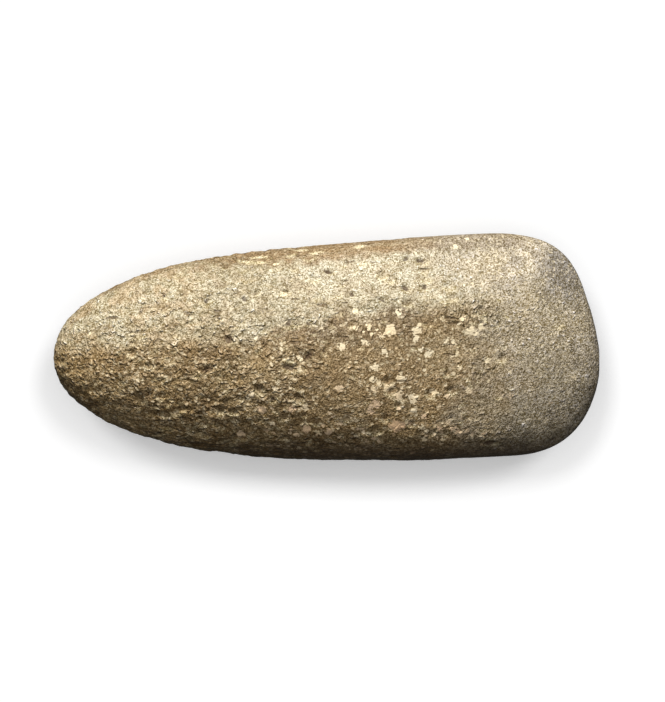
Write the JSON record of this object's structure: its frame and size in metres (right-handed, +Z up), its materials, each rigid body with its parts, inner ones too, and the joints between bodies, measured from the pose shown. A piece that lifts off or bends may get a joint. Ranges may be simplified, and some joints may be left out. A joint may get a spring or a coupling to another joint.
{
  "type": "polished stone axe head",
  "caption": "Thick stone axe head with a rounded pecked butt and a broad ground cutting edge, lying on its back face.",
  "frame": {"origin": "on the resting surface, under the middle of the bounding box", "axes": "+X along the length from the butt to the cutting edge, +Y across the broad face to the straighter long side, +Z up out of the upper broad face"},
  "size_m": [0.15, 0.0624, 0.0406],
  "materials": {
    "stone": "brown fine-grained stone, pecked and pitted, worn to a satin sheen, ground smooth and grey at the cutting edge"
  },
  "bodies": {
    "root": {"axe_head": "stone"}
  },
  "joints": []
}
